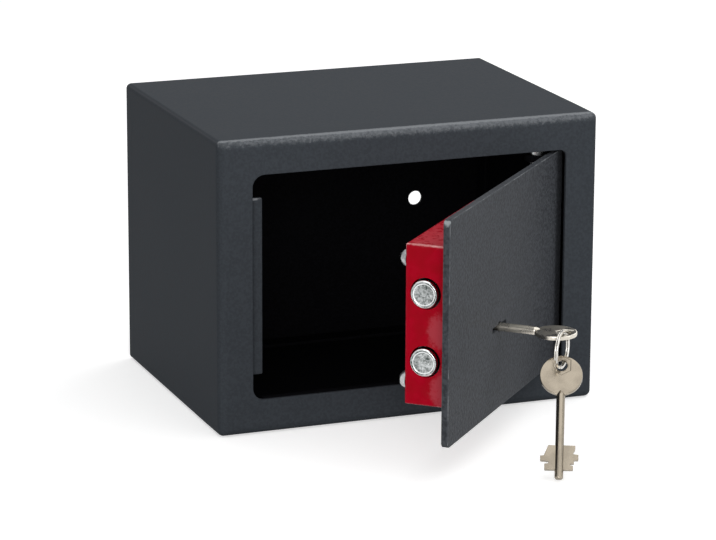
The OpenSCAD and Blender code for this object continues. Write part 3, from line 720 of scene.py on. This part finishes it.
def makeBolts():
    b = boltLook
    low, high = closedBox("upper_bolt")
    below = closedBox("lower_bolt")[0]
    r, dish = b["radius"], b["dish"]
    chamfer, neck = b["chamfer"], b["neck"]
    length = high.x - low.x
    shoulder = length - b["neckStart"]
    rivetAt = shoulder + b["neckLength"]
    inner = r - chamfer - b["rim"]
    profile = [(0, dish), (inner - 0.5 * mm, dish), (inner, 0.05 * mm), (inner + 0.2 * mm, 0),
               (r - chamfer, 0), (r - 0.75 * chamfer, 0.08 * mm), (r - 0.1 * mm, chamfer - 0.1 * mm),
               (r, chamfer + 0.1 * mm), (r, shoulder - 0.3 * mm), (r - 0.3 * mm, shoulder),
               (neck, shoulder), (neck, rivetAt), (b["rivet"], rivetAt), (neck, length), (0, length)]
    bm = bmesh.new()
    addTurned(bm, profile)
    piece = meshObject("lockBolts", bm, [boltRimHighlight])
    axis = Vector((low.x, (low.y + high.y) / 2, (low.z + high.z) / 2))
    piece = placed(piece, Matrix.Rotation(math.radians(90), 4, "Y"))
    runNodes(piece, repeater, {"Rows": 2, "Row Step": (0, 0, below.z - low.z), "Material": boltRimHighlight})
    piece.data.materials.append(boltFaceReflection)
    for polygon in piece.data.polygons:
        onFace = polygon.center.x < 0.3 * mm and polygon.normal.x < -0.97
        polygon.material_index = 1 if onFace else 0
    placed(piece, doorPlace @ Matrix.Translation(axis))
    return finishPiece(piece, "bolt_work", ["upper_bolt", "lower_bolt"], 30)


screwLook = {
    "headRadius": 5 * mm,
    "headHeight": 4.8 * mm,
    "shank": 2 * mm,
    "recess": 5.2 * mm,     # across the cross in the head
    "recessDepth": 1.7 * mm,
    "slot": 1.3 * mm,
    "point": 0.4 * mm,
}


def makeCoverScrews():
    w = screwLook
    low, high = closedBox("cover_screws")
    r, h = w["headRadius"], w["headHeight"]
    domeRadius = (r * r + h * h) / (2 * h)
    reach = math.asin(min(1, r / domeRadius))
    steps = 14
    profile = [(0, h)]
    for k in range(1, steps):
        turn = reach * k / steps
        profile.append((domeRadius * math.sin(turn), h - domeRadius * (1 - math.cos(turn))))
    tail = low.y - (high.y - h)
    profile += [(r, 0.25 * mm), (r, 0), (w["shank"], 0), (w["shank"], tail + w["point"]),
                (w["shank"] - w["point"], tail), (0, tail)]
    bm = bmesh.new()
    addTurned(bm, profile, 48)
    piece = meshObject("coverScrews", bm, [zinc])
    arm, half = w["recess"] / 2, w["slot"] / 2
    quarter = [(arm, -half), (arm, half), (half, half)]
    outline = []
    for turn in range(4):
        spin = Matrix.Rotation(math.radians(90 * turn), 3, "Z")
        outline += [spin @ Vector((x, y, 0)) for x, y in quarter]
    floor, top = Vector((0, 0, h - w["recessDepth"])), Vector((0, 0, h + mm))
    bm = bmesh.new()
    addLoft(bm, [[0.7 * p + floor for p in outline], [1.15 * p + top for p in outline]], capEnds=True)
    booleaned(piece, meshObject("crossDriver", bm, []), "DIFFERENCE")
    placed(piece, Matrix.Rotation(math.radians(-90), 4, "X"))
    runNodes(piece, repeater, {"Columns": 2, "Column Step": (high.x - low.x - 2 * r, 0, 0), "Rows": 2,
                               "Row Step": (0, 0, high.z - low.z - 2 * r), "Material": zinc})
    placed(piece, doorPlace @ Matrix.Translation((low.x + r, high.y - h, low.z + r)))
    return finishPiece(piece, "door", ["cover_screws"], 30)


makeBolts()
makeCoverScrews()
print("bolts and screws made")


keyShape = {
    "bow": 23.5 * mm,
    "blade": 2.3 * mm,
    "shank": 4.8 * mm,
    "reach": 10.4 * mm,         # of the longest bit from the middle of the shank
    "hole": 6.6 * mm,
    "holeOut": 5.9 * mm,
    "holeEdge": 0.3 * mm,
    "stampAcross": 10.4 * mm,   # six-sided stamping round the hole
    "stampDepth": 0.25 * mm,
    "stampSlope": 0.25 * mm,
    "bitStart": 5.1 * mm,
    "bitEnd": 19.5 * mm,
    "bitEdge": 0.22 * mm,
    "edge": 0.5 * mm,
}
# Bits, from the end near the tip: share of their length, and reach as a share of the longest
plainBit = [(0, 0.2), (0, 0.77), (0.24, 0.77), (0.26, 0.56), (0.34, 0.58), (0.37, 1), (0.56, 1),
            (0.58, 0.81), (1, 0.59), (1, 0.2)]
throwingBit = [(0, 0.2), (0, 0.73), (0.17, 0.73), (0.19, 0.58), (0.25, 0.58), (0.26, 0.77), (0.4, 0.77),
               (0.41, 1), (0.63, 1), (0.65, 0.71), (0.84, 0.83), (1, 0.83), (1, 0.2)]


def makeKey(name, length, place, body, node, material):
    k = keyShape
    half, bowRadius, holeRadius = k["blade"] / 2, k["bow"] / 2, k["hole"] / 2
    bowMid = length - bowRadius
    hole = bowMid + k["holeOut"]
    steps = 96

    def ring(radiusAt, y):
        points = []
        for i in range(steps):
            turn = 2 * math.pi * i / steps
            radius = radiusAt(turn)
            points.append(Vector((radius * math.cos(turn), y, hole + radius * math.sin(turn))))
        return points

    def rim(radius):
        # Distance from the hole's middle to the bow's edge
        out = k["holeOut"]
        return lambda t: -out * math.sin(t) + math.sqrt(radius ** 2 - (out * math.cos(t)) ** 2)

    def stamped(across):
        def radiusAt(turn):
            off = (turn + math.radians(30)) % math.radians(60) - math.radians(30)
            return min(across / 2 / math.cos(off), rim(bowRadius - 1.1 * k["edge"])(turn))
        return radiusAt

    e, sunk, soft, across = k["edge"], half - k["stampDepth"], k["holeEdge"], k["stampAcross"]
    face = [ring(lambda t: holeRadius, 0), ring(lambda t: holeRadius, sunk - soft),
            ring(lambda t: holeRadius + 0.08 * mm, sunk - 0.08 * mm),
            ring(lambda t: holeRadius + soft, sunk), ring(stamped(across - 2 * k["stampSlope"]), sunk),
            ring(stamped(across), half - 0.05 * mm), ring(stamped(across + 0.3 * mm), half),
            ring(rim(bowRadius - e), half), ring(rim(bowRadius - 0.3 * e), half - 0.3 * e),
            ring(rim(bowRadius), half - e)]
    back = [[Vector((p.x, -p.y, p.z)) for p in loop] for loop in reversed(face[1:])]
    bm = bmesh.new()
    addLoft(bm, face + back, closeRound=True)
    shank = k["shank"] / 2
    throat = bowMid - bowRadius
    end = throat + 3.4 * mm     # the shank runs on into the bow and tapers to the blade's thickness
    addTurned(bm, [(0, 0), (shank - 0.9 * mm, 0), (shank - 0.35 * mm, 0.2 * mm), (shank, 0.8 * mm),
                   (shank, throat - 0.6 * mm), (shank - 0.35 * mm, throat + 0.6 * mm),
                   (half, end - 0.8 * mm), (0.4 * half, end), (0, end)], 48)
    blank = meshObject(name, bm, [material])
    bm = bmesh.new()
    for side, outline in ((1, plainBit), (-1, throwingBit)):
        span = k["bitEnd"] - k["bitStart"]
        points = [(side * k["reach"] * out, k["bitStart"] + span * along) for along, out in outline]
        front = [bm.verts.new((x, -half, z)) for x, z in points]
        rear = [bm.verts.new((x, half, z)) for x, z in points]
        bm.faces.new(front)
        bm.faces.new(list(reversed(rear)))
        for i in range(len(points)):
            j = (i + 1) % len(points)
            bm.faces.new((front[j], front[i], rear[i], rear[j]))
    bits = bevelled(meshObject(name + "Bits", bm, [material]), k["bitEdge"], 2)
    bm = bmesh.new()
    bm.from_mesh(blank.data)
    bm.from_mesh(bits.data)
    bm.to_mesh(blank.data)
    bm.free()
    bpy.data.objects.remove(bits)
    placed(blank, place)
    return finishPiece(blank, body, [node], 32)


def makeRingNodes():
    # Two flat turns of wire, with one crank where the outer turn steps over the inner
    group, source, result = newGroup("splitRing", "GeometryNodeTree", [
        ("Radius", "NodeSocketFloat", 0.01), ("Wire", "NodeSocketFloat", 0.0016),
        ("Thickness", "NodeSocketFloat", 0.0009), ("Pitch", "NodeSocketFloat", 0.001),
        ("Turns", "NodeSocketFloat", 1.9), ("Material", "NodeSocketMaterial", None)], [
        ("Ring", "NodeSocketGeometry")])
    spiral = addNode(group, "GeometryNodeCurveSpiral", {"Resolution": 96, "Rotations": source["Turns"],
                     "Start Radius": source["Radius"], "End Radius": source["Radius"], "Height": 0.0})
    along = addNode(group, "GeometryNodeSplineParameter").outputs["Factor"]
    step = smoothRange(group, along, 0.47, 0.53, -0.5, 0.5)
    lift = addNode(group, "ShaderNodeCombineXYZ", {"Z": maths(group, "MULTIPLY", step, source["Pitch"])})
    path = addNode(group, "GeometryNodeSetPosition", {"Geometry": spiral.outputs[0],
                   "Offset": lift.outputs[0]})
    upright = addNode(group, "GeometryNodeSetCurveNormal", {"Curve": path.outputs[0]}, mode="Z_UP")
    section = addNode(group, "GeometryNodeCurvePrimitiveQuadrilateral", {"Width": source["Wire"],
                      "Height": source["Thickness"]})
    rounded = addNode(group, "GeometryNodeFilletCurve", {"Curve": section.outputs[0], "Radius": 0.00022,
                      "Count": 3}, mode="POLY")
    wire = addNode(group, "GeometryNodeCurveToMesh", {"Curve": upright.outputs[0],
                   "Profile Curve": rounded.outputs[0], "Fill Caps": True})
    solid = addNode(group, "GeometryNodeRealizeInstances", {"Geometry": wire.outputs[0]})
    finished = addNode(group, "GeometryNodeSetMaterial", {"Geometry": solid.outputs[0],
                       "Material": source["Material"]})
    group.links.new(finished.outputs[0], result["Ring"])
    return group


ringShape = {
    "wire": 1.6 * mm,
    "pitch": 1.0 * mm,
    "thickness": 0.94 * mm,
    "turns": 1.88,
    "gapAt": 200,           # degrees round the ring where the inner turn ends
}


def makeKeyRing():
    g = ringShape
    low, high = closedBox("key_ring")
    radius = (high.x - low.x) / 2 - g["wire"] / 2
    piece = meshObject("splitRing", bmesh.new(), [ringNickel])
    runNodes(piece, makeRingNodes(), {"Radius": radius, "Wire": g["wire"], "Thickness": g["thickness"],
                                      "Pitch": g["pitch"], "Turns": g["turns"], "Material": ringNickel})
    upright = Matrix.Rotation(math.radians(90), 4, "X") @ Matrix.Rotation(math.radians(g["gapAt"]), 4, "Z")
    placed(piece, doorPlace @ Matrix.Translation((low + high) / 2) @ upright)
    return finishPiece(piece, "ring", ["key_ring"], 40)


def lockKeyPlace():
    low, high = closedBox("lock_key")
    axis = doorPlace.inverted() @ Vector(keyTurn["pos_m"])
    tip = Vector((axis.x, high.y, axis.z))
    turned = Matrix.Rotation(math.radians(90), 4, "X") @ Matrix.Rotation(math.radians(180), 4, "Z")
    return high.y - low.y, doorPlace @ Matrix.Translation(tip) @ turned


spareHang = {
    "turn": 108,            # degrees round the upright; sets the way that the key leans
    "play": 0.4 * mm,       # between the ring's wire and the hole's edge
    "floorGap": 0.3 * mm,
}


def spareKeyPlace(length):
    # The spare key hangs from the foot of the ring and leans until its tip stands just clear of the floor
    low, high = closedBox("key_ring")
    hang = Vector(((low.x + high.x) / 2, (low.y + high.y) / 2, low.z + ringShape["wire"] / 2))
    hangLength = length - keyShape["bow"] / 2 + keyShape["holeOut"] - spareHang["play"]
    shank = keyShape["shank"] / 2
    reach = math.hypot(hangLength, shank)
    lean = math.acos((hang.z - spareHang["floorGap"]) / reach) + math.atan2(shank, hangLength)
    turn = Matrix.Rotation(math.radians(spareHang["turn"]), 4, "Z") @ Matrix.Rotation(lean, 4, "X")
    return doorPlace @ Matrix.Translation(hang) @ turn @ Matrix.Translation((0, 0, -hangLength))


keyLength, keyPlace = lockKeyPlace()
makeKey("lockKey", keyLength, keyPlace, "key", "lock_key", keyNickel)
makeKey("spareKey", keyLength, spareKeyPlace(keyLength), "spare", "spare_key", spareShadedNickel)
makeKeyRing()
print("keys made")


# Parts that keep their solids and only take a finish
nodeFinish = {
    zinc: ["hinge_pins", "hinge_bushes", "cover_posts", "guide_stud", "case_screws", "lever_post",
           "bolt_bar", "lever_stump"],
    brass: ["lever_%d" % i for i in range(1, 6)],
    steel: ["lock_base_plate", "bolt_guide", "lock_case", "lock_case_lid"],
    springSteel: ["lever_springs"],
}
for material, names in nodeFinish.items():
    for name in names:
        mesh = frame["nodes"][name].data
        mesh.materials.clear()
        mesh.materials.append(material)


studio = {
    "floorSize": 6.0,
    "floorDrop": 0.2 * mm,  # below the object's foot
    "floorTone": 0.4,       # what the floor throws back on the object
    "floorPale": 0.92,      # what the camera and the bright metal see of it
    "floorGlow": 0.5,
    "worldLight": 0.3,
}


def seenRays(tree):
    # 1 for what the camera sees straight on, in a reflection or through a pane
    paths = addNode(tree, "ShaderNodeLightPath").outputs
    seen = maths(tree, "ADD", paths["Is Camera Ray"], paths["Is Glossy Ray"])
    return maths(tree, "ADD", seen, paths["Is Transmission Ray"], True)


def makeStudio():
    s = studio
    white = (1, 1, 1, 1)
    bm = bmesh.new()
    bmesh.ops.create_grid(bm, x_segments=1, y_segments=1, size=s["floorSize"] / 2,
                          matrix=Matrix.Translation((0, 0, -s["floorDrop"])))
    floor = meshObject("floor", bm, [])
    material = bpy.data.materials.new("studioFloor")
    material.use_nodes = True
    tree = material.node_tree
    tree.nodes.clear()
    seen = seenRays(tree)
    paler = maths(tree, "MULTIPLY", seen, s["floorPale"] - s["floorTone"])
    tone = maths(tree, "ADD", paler, s["floorTone"])
    diffuse = addNode(tree, "ShaderNodeBsdfDiffuse", {"Color": tone}).outputs[0]
    strength = maths(tree, "MULTIPLY", seen, s["floorGlow"])
    glow = addNode(tree, "ShaderNodeEmission", {"Color": white, "Strength": strength}).outputs[0]
    both = addNode(tree, "ShaderNodeAddShader", {0: diffuse, 1: glow}).outputs[0]
    addNode(tree, "ShaderNodeOutputMaterial", {"Surface": both})
    floor.data.materials.append(material)

    world = bpy.data.worlds.new("studio")
    scene.world = world
    world.use_nodes = True
    tree = world.node_tree
    tree.nodes.clear()
    lit = addNode(tree, "ShaderNodeBackground", {"Color": white, "Strength": s["worldLight"]}).outputs[0]
    plain = addNode(tree, "ShaderNodeBackground", {"Color": white, "Strength": 1.0}).outputs[0]
    mixed = addNode(tree, "ShaderNodeMixShader", {0: seenRays(tree), 1: lit, 2: plain}).outputs[0]
    addNode(tree, "ShaderNodeOutputWorld", {"Surface": mixed})


def addLamp(name, place, target, size, power):
    data = bpy.data.lights.new(name, "AREA")
    data.shape = "RECTANGLE"
    data.size, data.size_y = size
    data.energy = power
    lamp = bpy.data.objects.new(name, data)
    aim = Vector(target) - Vector(place)
    lamp.matrix_world = Matrix.Translation(place) @ aim.to_track_quat("-Z", "Y").to_matrix().to_4x4()
    scene.collection.objects.link(lamp)


lamps = {                   # place, what it points at, its size and its power in watts
    "topBox": ((0.3, -0.2, 1.5), (0, 0, 0.08), (2.0, 2.0), 11.0),
    "frontBox": ((-0.95, -2.1, 0.6), (0, 0, 0.08), (1.5, 1.1), 27.0),
    "rightBox": ((1.3, -1.4, 0.6), (0, -0.05, 0.08), (0.9, 1.1), 7.0),
    "backBox": ((1.7, 1.2, 1.2), (0, 0, 0.08), (1.2, 1.1), 8.0),
}
makeStudio()
for name, values in lamps.items():
    addLamp(name, *values)
scene.view_settings.view_transform = "Standard"
print("studio lit")
